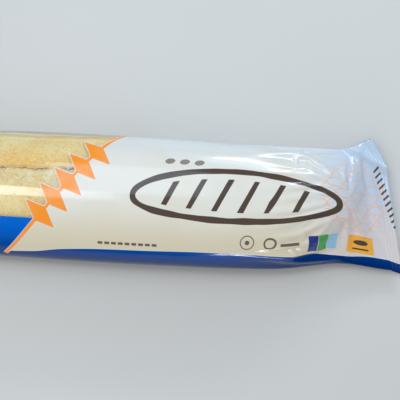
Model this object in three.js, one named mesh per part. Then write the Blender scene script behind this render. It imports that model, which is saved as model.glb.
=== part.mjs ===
// A part-baked baguette sealed in a pillow pack of thin film, lying on its flat underside.
// The pack is one closed solid out to the film: a loaf-filled body, two shoulders, and a
// crimped seal at each end, where the film tube is pressed flat and wider than the body.
// Millimetres. +X runs along the loaf, +Z is up, and the origin is under the middle.
import * as THREE from "three";

// Driving sizes of the pack
const packLength = 536; // between the two cut edges, along the middle
const sealDepth = 12; // crimped strip at each end
const flatWidth = 142; // the film tube pressed flat, as in the seals
const bodyWidth = 117; // widest, at the middle of the loaf
const bodyHeight = 60;
const sideHeight = 22; // how high the body is widest
const endNarrowing = 9; // what the body loses in width towards its ends
const shoulderLength = 82; // from the full height down to the seal
const flareLength = 44; // over which the sides spread to the seal's width
const sealHeight = 10; // where the seal starts, above the floor
const sealDroop = 0.5; // how far the cut edge hangs below that
const filmThickness = 1.2; // both layers of a seal, made thick enough for a solid
const crimpPitch = 4;
const crimpRise = 0.4;

// Each end is pulled a little askew, and its pleats run in from the seal
const rightEnd = { skewDeg: 12, pleats: 3.6, phase: 0.7, wave: 1.4, earRise: 3 };
const leftEnd = { skewDeg: -4, pleats: 3.1, phase: 2.4, wave: 1.2, earRise: 0 };
const pleatDepth = 2.4;
const earCrease = { start: [223, 57], end: [262, 38], width: 5 }; // ridge of the raised corner

// How finely the surface is drawn
const stepsPerFace = 30; // across the upper face, and again across the lower one
const bodyStations = 15;
const shoulderStations = 16;
const arcSamples = 240;

const clamp = (v, low, high) => Math.min(high, Math.max(low, v));
const mix = (a, b, t) => a + (b - a) * t;
const ease = (t) => t * t * (3 - 2 * t);
const share = (v, from, to) => clamp((v - from) / (to - from), 0, 1);

const halfLength = packLength / 2;
const sealStart = halfLength - sealDepth;
const shoulderStart = sealStart - shoulderLength;
const flareStart = sealStart - flareLength;

// Sizes of the cross section at a distance along the pack
function sectionSizes(x) {
  const along = Math.abs(x);
  const shoulder = ease(share(along, shoulderStart, sealStart));
  const flare = share(along, flareStart, sealStart) ** 1.3;
  const taper = endNarrowing * share(along, 0, flareStart) ** 2;
  const droop = sealDroop * share(along, sealStart, halfLength);
  const middle = mix(sideHeight, sealHeight, shoulder) - droop;
  const lift = share(along, flareStart - 6, sealStart) ** 1.6;
  return {
    halfWidth: mix((bodyWidth - taper) / 2, flatWidth / 2, flare),
    middle,
    top: mix(bodyHeight, middle + filmThickness / 2, shoulder),
    bottom: mix(0, middle - filmThickness / 2, lift),
    roundness: mix(2, 1, shoulder), // 2 is an ellipse's side, 1 a pointed lens
    flare,
  };
}

// Half of a section as evenly spaced points [y, z], from the +Y side to the -Y side
function faceOutline(size, upper) {
  const reach = upper ? size.top - size.middle : size.middle - size.bottom;
  const fill = upper ? 2.3 : 3.2; // the lower face is boxier
  const press = upper ? 1 : 1.12; // pressed past the floor, then cut flat at it
  const dense = [];
  for (let i = 0; i <= arcSamples; i++) {
    const c = Math.cos((Math.PI * i) / arcSamples);
    const rise = Math.max(0, 1 - Math.abs(c) ** fill) ** (1 / size.roundness);
    const height = Math.min(reach * press * rise, reach);
    dense.push([size.halfWidth * c, size.middle + (upper ? height : -height)]);
  }
  const run = [0];
  for (let i = 1; i < dense.length; i++) {
    const [y, z] = dense[i];
    run.push(run[i - 1] + Math.hypot(y - dense[i - 1][0], z - dense[i - 1][1]));
  }
  const points = [];
  for (let k = 0, i = 0; k <= stepsPerFace; k++) {
    const wanted = (run[arcSamples] * k) / stepsPerFace;
    while (i < arcSamples - 1 && run[i + 1] < wanted) i++;
    const t = clamp((wanted - run[i]) / (run[i + 1] - run[i]), 0, 1);
    points.push([mix(dense[i][0], dense[i + 1][0], t), mix(dense[i][1], dense[i + 1][1], t)]);
  }
  return points;
}

// Height that pleats, the seal's wave, the crimps and the raised corner add at a point
function filmRelief(x, y, size, end, upper) {
  const along = Math.abs(x);
  const across = y / size.halfWidth;
  const near = share(along, flareStart - 34, sealStart);
  const fold = Math.sin(Math.PI * near ** 1.4) * (1 - across ** 4);
  const turn = 2 * Math.PI * end.pleats * across + end.phase + (upper ? 0 : 1.9);
  const free = upper ? 1 : share(along, flareStart, sealStart);
  const pleat = pleatDepth * fold * free * (0.6 * Math.sin(turn) + 0.4 * Math.sin(1.7 * turn));
  const wave = end.wave * size.flare * Math.sin(2.6 * across + end.phase);
  const intoSeal = along - sealStart;
  const crimp = intoSeal > 0 ? crimpRise * Math.sin((2 * Math.PI * intoSeal) / crimpPitch) : 0;
  const [sx, sy] = earCrease.start;
  const [ex, ey] = earCrease.end;
  const length = Math.hypot(ex - sx, ey - sy);
  const beyond = ((x - sx) * (sy - ey) + (y - sy) * (ex - sx)) / length;
  const beside = ((x - sx) * (ex - sx) + (y - sy) * (ey - sy)) / length;
  const ends = ease(share(beside, -12, 6)) * ease(share(length + 14 - beside, 0, 16));
  const crease = x > 0 ? end.earRise * ends * Math.exp(-((beyond / earCrease.width) ** 2)) : 0;
  return pleat + wave + crimp + crease;
}

// The film's outline at one station: the upper face, then the lower face back again
function ringAt(x) {
  const size = sectionSizes(x);
  const end = x > 0 ? rightEnd : leftEnd;
  const skew = Math.tan((end.skewDeg * Math.PI) / 180);
  const ring = [];
  for (const upper of [true, false]) {
    const outline = faceOutline(size, upper);
    if (!upper) outline.reverse();
    for (const [y, z] of outline.slice(0, -1)) {
      const raised = Math.max(0, z + filmRelief(x, y, size, end, upper));
      ring.push([x - y * skew * size.flare, y, raised]);
    }
  }
  return ring;
}

// Stations close together over the shoulders and on each flank of a crimp
function stationPlaces() {
  const places = [];
  for (let i = 0; i < bodyStations; i++) {
    places.push(mix(0, shoulderStart, i / bodyStations));
  }
  for (let i = 0; i < shoulderStations; i++) {
    places.push(mix(shoulderStart, sealStart, i / shoulderStations));
  }
  for (let d = 0; d <= sealDepth; d += crimpPitch / 4) {
    places.push(sealStart + d);
  }
  const mirrored = places.slice(1).map((x) => -x);
  return [...mirrored.reverse(), ...places];
}

// Joins the rings into one skin and closes it along each cut edge
function packGeometry() {
  const rings = stationPlaces().map(ringAt);
  const around = 2 * stepsPerFace;
  const faces = [];
  for (let r = 0; r + 1 < rings.length; r++) {
    for (let i = 0; i < around; i++) {
      const j = (i + 1) % around;
      const a = r * around + i;
      const b = r * around + j;
      faces.push(a, b, b + around, a, b + around, a + around);
    }
  }
  for (const [ring, out] of [[0, false], [rings.length - 1, true]]) {
    const first = ring * around;
    for (let i = 0; i < stepsPerFace; i++) {
      const upper = [first + i, first + i + 1];
      const lower = [first + ((around - i) % around), first + around - i - 1];
      const quad = [
        [upper[0], upper[1], lower[1]],
        [upper[0], lower[1], lower[0]],
      ];
      for (const corners of quad) {
        if (new Set(corners).size < 3) continue;
        faces.push(...(out ? corners : corners.reverse()));
      }
    }
  }
  const geometry = new THREE.BufferGeometry();
  geometry.setAttribute("position", new THREE.Float32BufferAttribute(rings.flat(2), 3));
  geometry.setIndex(faces);
  geometry.computeBoundingBox();
  const box = geometry.boundingBox;
  geometry.translate(-(box.min.x + box.max.x) / 2, -(box.min.y + box.max.y) / 2, -box.min.z);
  geometry.computeVertexNormals();
  return geometry;
}

const printedFilm = new THREE.MeshStandardMaterial({
  color: new THREE.Color(0.86, 0.86, 0.82),
  roughness: 0.25,
  metalness: 0,
});

const pack = new THREE.Mesh(packGeometry(), printedFilm);
pack.name = "sealed_pack";

const baguettePack = new THREE.Group();
baguettePack.add(pack);

export default baguettePack;
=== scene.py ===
# A part-baked baguette in its sealed film pack: a clear window on the left, white film
# with a blue side on the right. Metres, +X along the loaf, +Z up.
import math

import bmesh
import bpy
import numpy as np
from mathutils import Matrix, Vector


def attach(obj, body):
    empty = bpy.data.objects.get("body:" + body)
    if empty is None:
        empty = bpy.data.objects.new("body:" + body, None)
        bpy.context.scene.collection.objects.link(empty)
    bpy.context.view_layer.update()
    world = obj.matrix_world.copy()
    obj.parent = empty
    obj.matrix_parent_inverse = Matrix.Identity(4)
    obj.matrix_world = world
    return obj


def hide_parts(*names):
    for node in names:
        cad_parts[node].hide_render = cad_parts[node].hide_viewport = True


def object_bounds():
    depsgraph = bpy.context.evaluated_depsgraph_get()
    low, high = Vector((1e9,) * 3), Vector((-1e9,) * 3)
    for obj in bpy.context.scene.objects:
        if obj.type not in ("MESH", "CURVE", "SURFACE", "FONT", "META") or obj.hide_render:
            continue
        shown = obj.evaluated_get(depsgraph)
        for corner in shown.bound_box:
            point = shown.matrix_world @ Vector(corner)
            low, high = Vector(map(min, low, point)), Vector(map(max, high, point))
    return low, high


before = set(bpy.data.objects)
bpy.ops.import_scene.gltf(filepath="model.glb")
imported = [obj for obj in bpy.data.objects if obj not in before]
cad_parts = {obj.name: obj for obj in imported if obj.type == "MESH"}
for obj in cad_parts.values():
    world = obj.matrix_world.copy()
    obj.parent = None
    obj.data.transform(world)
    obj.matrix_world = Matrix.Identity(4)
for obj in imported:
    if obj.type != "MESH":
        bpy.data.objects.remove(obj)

startBox = [list(corner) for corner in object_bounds()]
scene = bpy.context.scene
mm = 0.001

# How the photograph sees the pack: its scale, and the line that the pack's middle follows
photoView = {
    "frame": 400,  # pixels a side
    "mmPerPixel": 0.91,
    "sealPixel": (395, 208.4),  # the pack's middle, at its right-hand end
    "sealPlace": 265.0,  # where that is along the pack, mm
    "tiltDegrees": 2.1,  # the pack runs down to the right
    "elevation": 81.0,
    "lens": 70.0,
    "sensor": 36.0,  # width of the camera's picture, mm
    "aimHeight": 30.0,
    "foldMargin": 3.0,  # places on the film are looked for this far inside its side folds
    "outOfReach": 1000.0,  # added to where they aren't looked for
    "mostStep": 4.0,  # how far a place may lie from the nearest point of the film's grid
}

# The pack as it is before the film settles, mm
packForm = {
    "length": 536.0,
    "boxMiddle": 5.06,  # the middle of the solid's box lies this far along the pack
    "sealDepth": 12.0,
    "flatWidth": 142.0,
    "bodyWidth": 117.0,
    "bodyHeight": 60.0,
    "sideHeight": 22.0,
    "endNarrowing": 9.0,
    "shoulderLength": 82.0,
    "flareLength": 44.0,
    "flareCurve": 1.3,  # powers over 1 start slowly
    "liftCurve": 1.6,
    "liftBefore": 6.0,  # the underside leaves the table this far before the flare
    "topFullness": 2.3,  # higher is boxier
    "footFullness": 3.2,
    "footFlat": 1.12,
    "sealHeight": 10.0,
    "sealDroop": 0.5,
    "layerGap": 0.3,
    "skewDegrees": {1: 8.0, -1: -4.0},  # right end, left end
    "wave": {1: (1.4, 0.7), -1: (1.2, 2.4)},  # height and phase of each seal's wave
    "waveTurn": 2.6,  # radians of it from the seal's middle to its side
    "creaseLine": ((223.0, 57.0), (262.0, 38.0)),  # ridge of the raised corner
    "creaseHeight": 3.0,
    "creaseWidth": 4.0,
    "creaseStart": (12.0, 18.0),  # how far before its line the ridge starts, and fades in
    "creaseEnd": (14.0, 16.0),  # how far past its line it ends, and fades out
    # how much of its width each side of a seal keeps once its waves have gathered it
    "gathered": {1: (0.95, 0.85), -1: (1.0, 0.99)},  # +Y side, -Y side
    "earPull": 8.0,  # how far the raised corner is drawn back
    "earStart": 35.0,  # from here towards +Y
    "earReach": 32.0,
    # the whole pack bends a little: places along it, and how far it lies to +Y there
    "bendPlaces": (-268.0, -90.0, 20.0, 110.0, 165.0, 215.0, 262.0),
    "bendShifts": (3.4, 2.7, 0.2, -1.8, -0.8, 3.8, 1.5),
    "bendReach": 320,  # a little past both ends
    "bendEase": 35,
    "clearOfTable": 0.55,
    "apartFrom": 14.0,  # the two layers are kept apart from this far past the flare's start
}

halfLength = packForm["length"] / 2
sealStart = halfLength - packForm["sealDepth"]
shoulderStart = sealStart - packForm["shoulderLength"]
flareStart = sealStart - packForm["flareLength"]
halfSheet = packForm["flatWidth"]  # the film reaches this far round from the top middle


def share(value, low, high):
    return min(1.0, max(0.0, (value - low) / (high - low)))


def smooth(t):
    return t * t * (3 - 2 * t)


def mix(a, b, t):
    return a + (b - a) * t


def halfOutline(x, steps):
    # From the top middle round the +Y side to the bottom middle, evenly spaced
    form, along = packForm, abs(x)
    shoulder = smooth(share(along, shoulderStart, sealStart))
    flare = share(along, flareStart, sealStart) ** form["flareCurve"]
    taper = form["endNarrowing"] * share(along, 0, flareStart) ** 2
    middle = mix(form["sideHeight"], form["sealHeight"], shoulder)
    middle -= form["sealDroop"] * share(along, sealStart, halfLength)
    lift = share(along, flareStart - form["liftBefore"], sealStart) ** form["liftCurve"]
    spread = share(along, flareStart, halfLength) ** form["flareCurve"]
    halfWidth = mix((form["bodyWidth"] - taper) / 2, form["flatWidth"] / 2, spread)
    up = mix(form["bodyHeight"], middle + form["layerGap"] / 2, shoulder) - middle
    down = middle - mix(0.0, middle - form["layerGap"] / 2, lift)
    power = 1 / mix(2.0, 1.0, shoulder)
    c = np.sin(np.linspace(0, math.pi / 2, 160))
    upper = middle + up * (1 - c ** form["topFullness"]) ** power
    hollow = (1 - c ** form["footFullness"]) ** power
    lower = middle - np.minimum(down * form["footFlat"] * hollow, down)
    y = np.concatenate([halfWidth * c, halfWidth * c[::-1][1:]])
    z = np.concatenate([upper, lower[::-1][1:]])
    run = np.concatenate([[0], np.cumsum(np.hypot(np.diff(y), np.diff(z)))])
    wanted = np.linspace(0, run[-1], steps + 1)
    return np.interp(wanted, run, y), np.interp(wanted, run, z), flare, halfWidth


def filmRing(x, steps):
    # One whole turn of film, from the bottom middle over the -Y side and the top
    y, z, flare, halfWidth = halfOutline(x, steps)
    y = np.concatenate([-y[::-1], y[1:-1]])
    z = np.concatenate([z[::-1], z[1:-1]])
    side = 1 if x > 0 else -1
    rise, phase = packForm["wave"][side]
    z = z + rise * flare * np.sin(packForm["waveTurn"] * y / halfWidth + phase)
    skew = math.tan(math.radians(packForm["skewDegrees"][side]))
    back = y * skew
    if side == 1:
        ear = np.maximum(0, (y - packForm["earStart"]) / packForm["earReach"])
        back = back + packForm["earPull"] * ear**2
    far, near = packForm["gathered"][side]
    y = y * np.where(y > 0, mix(1, far, flare), mix(1, near, flare))
    return np.stack([x - back * flare, y, z], 1)


def bentAside(x):
    # How far the pack lies to +Y at places along it
    ease, far = packForm["bendEase"], packForm["bendReach"]
    reach = np.linspace(-far, far, 2 * far + 1)
    rough = np.interp(reach, packForm["bendPlaces"], packForm["bendShifts"])
    kernel = np.hanning(2 * ease + 1)
    eased = np.convolve(np.pad(rough, ease, mode="edge"), kernel / kernel.sum(), mode="valid")
    return np.interp(x, reach, eased)


# The film as a grid: rows along the pack, columns round it
filmGrid = {"around": 120, "endStep": 2.3, "middleSteps": 70, "denseFrom": 150.0}
halfTurn = filmGrid["around"] // 2
endRows = np.arange(filmGrid["denseFrom"], halfLength - 1, filmGrid["endStep"])
endRows = np.append(endRows, halfLength)
middleRows = np.linspace(
    -filmGrid["denseFrom"], filmGrid["denseFrom"], filmGrid["middleSteps"], endpoint=False
)[1:]
rowPlaces = np.concatenate([-endRows[::-1], middleRows, endRows])
startFilm = np.array([filmRing(x, halfTurn) for x in rowPlaces])
rowCount, columnCount = startFilm.shape[:2]
columnPlaces = np.linspace(-halfSheet, halfSheet, columnCount, endpoint=False)
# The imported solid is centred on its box, so the film moves with it
packShift = (startBox[0][0] + startBox[1][0]) / 2 / mm - packForm["boxMiddle"]


def newObject(name, points, faces, collection=None):
    mesh = bpy.data.meshes.new(name)
    mesh.from_pydata([tuple(p) for p in points], [], [tuple(f) for f in faces])
    made = bpy.data.objects.new(name, mesh)
    (collection or scene.collection).objects.link(made)
    return made


def gridFaces(rows, columns, closed=True, turned=False):
    # turned: for columns that run towards +Y over the top, so that faces point outwards
    faces = []
    for r in range(rows - 1):
        for i in range(columns if closed else columns - 1):
            j = (i + 1) % columns
            face = (r * columns + i, r * columns + j, (r + 1) * columns + j, (r + 1) * columns + i)
            faces.append(face[::-1] if turned else face)
    return faces


# The loaf's plain form, mm; its crust is worked further down
loafForm = {
    "length": 450.0,
    "quickLength": 425.0,  # the loose film is lower over the loaf's ends
    "width": 116.0,
    "height": 58.0,
    "base": 1.6,
    "sideHeight": 22.0,
    "endNarrowing": 0.1,
    "endFullness": 5,  # higher keeps the loaf full nearer its ends
    "endRounding": 2.3,
    "endHeight": 0.15,
    "endFoot": 0.35,
    "sideFullness": 0.95,  # under 1 is boxier
    "footFullness": 0.85,
    "footFlat": 1.06,
}


def loafGrid(places, turn):
    # Rings of a long rounded loaf with a flat foot; places run from -1 to 1
    form, rings, columns = loafForm, [], len(turn)
    c, s = np.cos(turn), np.sin(turn)
    for place in places:
        full = max(0.0, 1 - abs(place) ** form["endFullness"]) ** (1 / form["endRounding"])
        width = form["width"] / 2 * full * (1 - form["endNarrowing"] * place**2)
        rise = (form["height"] - form["sideHeight"]) * mix(form["endHeight"], 1, full)
        y = width * np.sign(c) * np.abs(c) ** form["sideFullness"]
        above = form["sideHeight"] + rise * np.abs(s)
        reach = (form["sideHeight"] - form["base"]) * mix(form["endFoot"], 1, full)
        foot = np.minimum(1, form["footFlat"] * np.abs(s) ** form["footFullness"])
        below = form["sideHeight"] - reach * foot
        x = np.full(columns, place * form["length"] / 2)
        rings.append(np.stack([x, y, np.where(s >= 0, above, below)], 1))
    return np.array(rings)


def loafMesh(name, places, turn, scale, collection=None):
    rings = loafGrid(places, turn)
    rows, columns = len(rings), len(turn)
    faces = gridFaces(rows, columns)
    points = rings.reshape(-1, 3)
    for row in (0, rows - 1):  # close each end on a middle point
        centre = points[row * columns:(row + 1) * columns].mean(0)
        points = np.vstack([points, centre])
        hub = len(points) - 1
        first = row * columns
        for i in range(columns):
            faces.append((first + i, first + (i + 1) % columns, hub))
    made = newObject(name, points * scale, faces, collection)
    mesh = bmesh.new()
    mesh.from_mesh(made.data)
    bmesh.ops.recalc_face_normals(mesh, faces=mesh.faces)
    mesh.to_mesh(made.data)
    mesh.free()
    return made


# How the film settles on the loaf; worked at ten times its size, where cloth behaves best
settling = {
    "unit": 0.01,  # scene units for each mm
    "slack": 1.075,  # film length over pack length
    "girth": 1.02,  # film round the loaf over film round a flat seal
    "frames": 40,
    "loafSkin": 0.012,  # how far from each the film is held off, scene units
    "tableSkin": 0.004,
    "filmSkin": 0.006,
    "blockRows": 61,  # the loaf is a plain block meanwhile, of this many rings
    "blockTurns": 44,
    "blockEnd": 0.98,
}
clothRules = {  # under Blender's own names
    "quality": 5,
    "mass": 0.05,
    "air_damping": 1.5,
    "tension_stiffness": 80.0,
    "compression_stiffness": 80.0,
    "shear_stiffness": 40.0,
    "bending_model": "ANGULAR",
    "bending_stiffness": 1.5,
    "tension_damping": 15,
    "compression_damping": 15,
    "shear_damping": 10,
    "bending_damping": 0.6,
    "use_pressure": True,
    "uniform_pressure_force": 0.08,
}
solidRules = {"thickness_inner": 0.1, "cloth_friction": 6, "damping": 0.2}


def setAll(owner, values):
    for name, value in values.items():
        setattr(owner, name, value)


def looseFilm(bench):
    # The film round the loaf; it is cut as a straight tube, about as wide as its flat seals
    unit = settling["unit"]
    film = newObject("looseFilm", startFilm.reshape(-1, 3) * unit,
                     gridFaces(rowCount, columnCount, turned=True), bench)
    radius = halfSheet * settling["girth"] / math.pi
    wrap = (columnPlaces + halfSheet) / halfSheet * math.pi
    tube = np.zeros_like(startFilm)
    tube[..., 0] = (rowPlaces * settling["slack"])[:, None]
    tube[..., 1] = -radius * np.sin(wrap)
    tube[..., 2] = -radius * np.cos(wrap)
    film.shape_key_add(name="Basis")
    flatTube = film.shape_key_add(name="flatTube")
    flatTube.data.foreach_set("co", (tube * unit).astype(np.float32).ravel())
    flatTube.value = 0
    held = film.vertex_groups.new(name="seals")
    heldRows = [r for r in range(rowCount) if abs(rowPlaces[r]) > sealStart - 0.1]
    held.add([r * columnCount + i for r in heldRows for i in range(columnCount)], 1, "REPLACE")
    return film, flatTube


def settledFilm():
    unit = settling["unit"]
    bench = bpy.data.collections.new("settlingBench")
    scene.collection.children.link(bench)
    film, flatTube = looseFilm(bench)
    turn = np.linspace(0, 2 * math.pi, settling["blockTurns"], endpoint=False)
    end = settling["blockEnd"]
    places = np.sin(np.linspace(-end, end, settling["blockRows"]) * math.pi / 2)
    loaf = loafMesh("loafBlock", places, turn, unit, bench)
    table = newObject("tableTop", [(-5, -3, 0), (5, -3, 0), (5, 3, 0), (-5, 3, 0)],
                      [(0, 1, 2, 3)], bench)
    for block, skin in ((loaf, settling["loafSkin"]), (table, settling["tableSkin"])):
        block.modifiers.new("solid", "COLLISION")
        block.collision.thickness_outer = skin
        setAll(block.collision, solidRules)

    cloth = film.modifiers.new("film", "CLOTH")
    setAll(cloth.settings, clothRules)
    cloth.settings.vertex_group_mass = "seals"
    cloth.settings.rest_shape_key = flatTube
    cloth.collision_settings.distance_min = settling["filmSkin"]
    cloth.collision_settings.collision_quality = 3
    cloth.collision_settings.use_self_collision = False
    cloth.point_cache.frame_start = 1
    cloth.point_cache.frame_end = settling["frames"]
    scene.frame_start, scene.frame_end = 1, settling["frames"]
    for step in range(1, settling["frames"] + 1):
        scene.frame_set(step)
    shown = film.evaluated_get(bpy.context.evaluated_depsgraph_get())
    found = np.zeros(rowCount * columnCount * 3, np.float32)
    shown.data.vertices.foreach_get("co", found)
    for block in (film, loaf, table):
        bpy.data.objects.remove(block)
    bpy.data.collections.remove(bench)
    scene.frame_set(1)
    return found.reshape(startFilm.shape).astype(float) / unit


def raisedCorner(points):
    # The ridge that runs in from the lifted corner of the right-hand seal
    (sx, sy), (ex, ey) = packForm["creaseLine"]
    length = math.hypot(ex - sx, ey - sy)
    x, y = points[..., 0], points[..., 1]
    beyond = ((x - sx) * (sy - ey) + (y - sy) * (ex - sx)) / length
    beside = ((x - sx) * (ex - sx) + (y - sy) * (ey - sy)) / length
    before, risen = packForm["creaseStart"]
    past, fallen = packForm["creaseEnd"]
    fadeIn = np.clip((beside + before) / risen, 0, 1)
    fadeOut = np.clip((length + past - beside) / fallen, 0, 1)
    upper = np.abs(columnPlaces)[None] < halfSheet / 2
    ridge = np.exp(-((beyond / packForm["creaseWidth"]) ** 2))
    return packForm["creaseHeight"] * smooth(fadeIn) * smooth(fadeOut) * ridge * upper


def underOf(column, columns):
    # The column of the lower layer that a flat seal presses against one of the upper layer
    return (columns + columns // 2 - column) % columns


def keptApart(points):
    # Keeps the upper layer over the lower one, and both just clear of the table
    points = points.copy()
    near = np.nonzero(np.abs(rowPlaces) > flareStart + packForm["apartFrom"])[0][:, None]
    top = np.arange(halfTurn // 2 + 1, halfTurn + halfTurn // 2)[None]
    under = underOf(top, columnCount)
    gap = points[near, top, 2] - points[near, under, 2]
    push = np.maximum(0, packForm["layerGap"] - gap) / 2
    points[near, top, 2] += push
    points[near, under, 2] -= push
    points[..., 2] = np.maximum(points[..., 2], packForm["clearOfTable"])
    return points


stretch = {"until": 95.0, "fade": 75.0, "pull": 0.5, "rounds": 40, "sideEvery": 5}


def pulledTight(points):
    # Over the middle of the loaf the film is stretched smooth, mostly along its length
    beyond = (np.abs(rowPlaces[1:-1]) - stretch["until"]) / stretch["fade"]
    calm = (1 - smooth(np.clip(beyond, 0, 1)))[:, None, None] * stretch["pull"]
    for step in range(stretch["rounds"]):
        points[1:-1] += calm * ((points[:-2] + points[2:]) / 2 - points[1:-1])
        if step % stretch["sideEvery"] == 0:
            beside = (np.roll(points, 1, 1) + np.roll(points, -1, 1)) / 2
            points[1:-1] += calm * (beside - points)[1:-1]
    return points


filmPoints = settledFilm()
filmPoints = pulledTight(filmPoints)
filmPoints[..., 2] += raisedCorner(filmPoints)
filmPoints = keptApart(filmPoints)
filmPoints[..., 1] += bentAside(filmPoints[..., 0])
filmPoints[..., 0] += packShift
print("film settled on the loaf:", rowCount, "by", columnCount)

rowLengths = rowPlaces * settling["slack"]  # the same rows on the flat film, mm


def weights(t):
    # Catmull-Rom weights of four neighbours
    return (
        (-t**3 + 2 * t**2 - t) / 2,
        (3 * t**3 - 5 * t**2 + 2) / 2,
        (-3 * t**3 + 4 * t**2 + t) / 2,
        (t**3 - t**2) / 2,
    )


def onPack(along, across):
    # Places on the settled film, mm, of points on the flat film
    row = np.interp(along, rowLengths, np.arange(rowCount))
    column = (np.asarray(across) + halfSheet) / (2 * halfSheet) * columnCount
    r0, c0 = np.floor(row).astype(int), np.floor(column).astype(int)
    found = np.zeros(np.broadcast(row, column).shape + (3,))
    rowShares, columnShares = weights(row - r0), weights(column - c0)
    for i in range(4):
        rows = np.clip(r0 + i - 1, 0, rowCount - 1)
        for j in range(4):
            part = filmPoints[rows, (c0 + j - 1) % columnCount]
            found += (rowShares[i] * columnShares[j])[..., None] * part
    return found


def photoEye():
    # Where the photograph was taken from, mm, and its directions right, up and back
    view = photoView
    turn, tip = math.radians(view["tiltDegrees"]), math.radians(view["elevation"])
    right = np.array([math.cos(turn), math.sin(turn), 0])
    back = np.array([math.sin(turn) * math.cos(tip), -math.cos(turn) * math.cos(tip),
                     math.sin(tip)])
    up = np.cross(back, right)
    middle = view["frame"] / 2
    dx = (middle - view["sealPixel"][0]) * view["mmPerPixel"]
    dy = (view["sealPixel"][1] - middle) * view["mmPerPixel"]
    target = np.array([view["sealPlace"] + packShift, 0, view["aimHeight"]])
    target += right * dx + np.array([-right[1], right[0], 0]) * dy
    away = view["frame"] * view["mmPerPixel"] * view["lens"] / view["sensor"]
    return target + back * away, right, up, back


def onPhoto(points):
    # The pixel at which the photograph shows each point
    view = photoView
    eye, right, up, back = photoEye()
    away = points - eye
    scale = view["frame"] * view["lens"] / view["sensor"] / -(away @ back)
    middle = view["frame"] / 2
    return np.stack([middle + (away @ right) * scale, middle - (away @ up) * scale], -1)


seenFilm = onPhoto(filmPoints)


def fromPhoto(px, py):
    # The flat film's point, mm, that the photograph shows at a pixel
    view, wanted = photoView, np.array([px, py], float)
    onTop = np.abs(columnPlaces)[None] < halfSheet / 2 - view["foldMargin"]
    off = np.linalg.norm(seenFilm - wanted, axis=-1) + np.where(onTop, 0, view["outOfReach"])
    off[[0, -1]] += view["outOfReach"]
    row, column = np.unravel_index(off.argmin(), off.shape)
    alongStep = (seenFilm[row + 1, column] - seenFilm[row - 1, column]) / (
        rowLengths[row + 1] - rowLengths[row - 1])
    acrossStep = (seenFilm[row, column + 1] - seenFilm[row, column - 1]) / (
        columnPlaces[column + 1] - columnPlaces[column - 1])
    step = np.linalg.solve(np.stack([alongStep, acrossStep], 1), wanted - seenFilm[row, column])
    step = np.clip(step, -view["mostStep"], view["mostStep"])
    return float(rowLengths[row] + step[0]), float(columnPlaces[column] + step[1])


class Field:
    # A value inside a node tree: sums written with fields become its Math nodes
    def __init__(self, socket):
        self.socket, self.tree = socket, socket.id_data

    def __add__(self, other):
        return calc("ADD", self, other)

    def __sub__(self, other):
        return calc("SUBTRACT", self, other)

    def __rsub__(self, other):
        return calc("SUBTRACT", other, self)

    def __mul__(self, other):
        return calc("MULTIPLY", self, other)

    def __truediv__(self, other):
        return calc("DIVIDE", self, other)

    def __abs__(self):
        return calc("ABSOLUTE", self)


def feed(value, socket):
    # Links a value into a socket, or sets it there when it is a constant
    if isinstance(value, Field):
        value = value.socket
    if isinstance(value, bpy.types.NodeSocket):
        socket.id_data.links.new(value, socket)
    else:
        socket.default_value = value


def newNode(tree, kind, inputs=(), **settings):
    # A node with its settings, and with inputs given in order or by name
    node = tree.nodes.new(kind)
    setAll(node, settings)
    for key, value in inputs.items() if isinstance(inputs, dict) else enumerate(inputs):
        feed(value, node.inputs[key])
    return node


def reading(tree, kind, output=0, inputs=(), **settings):
    return Field(newNode(tree, kind, inputs, **settings).outputs[output])


def treeOf(values):
    return next(value.tree for value in values if isinstance(value, Field))


def calc(operation, *values, clamp=False):
    return reading(treeOf(values), "ShaderNodeMath", 0, values,
                   operation=operation, use_clamp=clamp)


def fade(value, start, end, low=0.0, high=1.0):
    return reading(value.tree, "ShaderNodeMapRange", 0, (value, start, end, low, high),
                   interpolation_type="SMOOTHSTEP")


def noise(place, scale, detail=3.0, roughness=0.5, distortion=0.0):
    return reading(place.tree, "ShaderNodeTexNoise", 0, {
        "Vector": place, "Scale": scale, "Detail": detail, "Roughness": roughness,
        "Distortion": distortion})


def bell(value):
    # 1 where the value is nothing, falling off on both sides
    return calc("EXPONENT", value * value * -1.0)


def joined(x, y, z=0.0):
    return reading(treeOf((x, y, z)), "ShaderNodeCombineXYZ", 0, (x, y, z))


def parted(vector):
    node = newNode(vector.tree, "ShaderNodeSeparateXYZ", (vector,))
    return [Field(output) for output in node.outputs]


def blended(factor, first, second):
    return reading(factor.tree, "ShaderNodeMix", 2, {0: factor, 6: first, 7: second},
                   data_type="RGBA")


def colour(red, green, blue):
    # A colour as seen on screen, turned into the renderer's
    made = []
    for part in (red, green, blue):
        part /= 255
        made.append(part / 12.92 if part <= 0.04045 else ((part + 0.055) / 1.055) ** 2.4)
    return (*made, 1.0)


def nodeMaterial(name):
    material = bpy.data.materials.new(name)
    material.use_nodes = True
    tree = material.node_tree
    tree.nodes.clear()
    return material, tree, tree.nodes.new("ShaderNodeOutputMaterial")


def formTree(name, inputs):
    # An empty Geometry Nodes tree with named inputs
    tree = bpy.data.node_groups.new(name, "GeometryNodeTree")
    tree.interface.new_socket("Geometry", in_out="INPUT", socket_type="NodeSocketGeometry")
    for label, value in inputs.items():
        socket = tree.interface.new_socket(label, in_out="INPUT", socket_type="NodeSocketFloat")
        socket.default_value = value
    tree.interface.new_socket("Material", in_out="INPUT", socket_type="NodeSocketMaterial")
    tree.interface.new_socket("Geometry", in_out="OUTPUT", socket_type="NodeSocketGeometry")
    source, sink = tree.nodes.new("NodeGroupInput"), tree.nodes.new("NodeGroupOutput")
    return tree, {output.name: Field(output) for output in source.outputs}, sink


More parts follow.
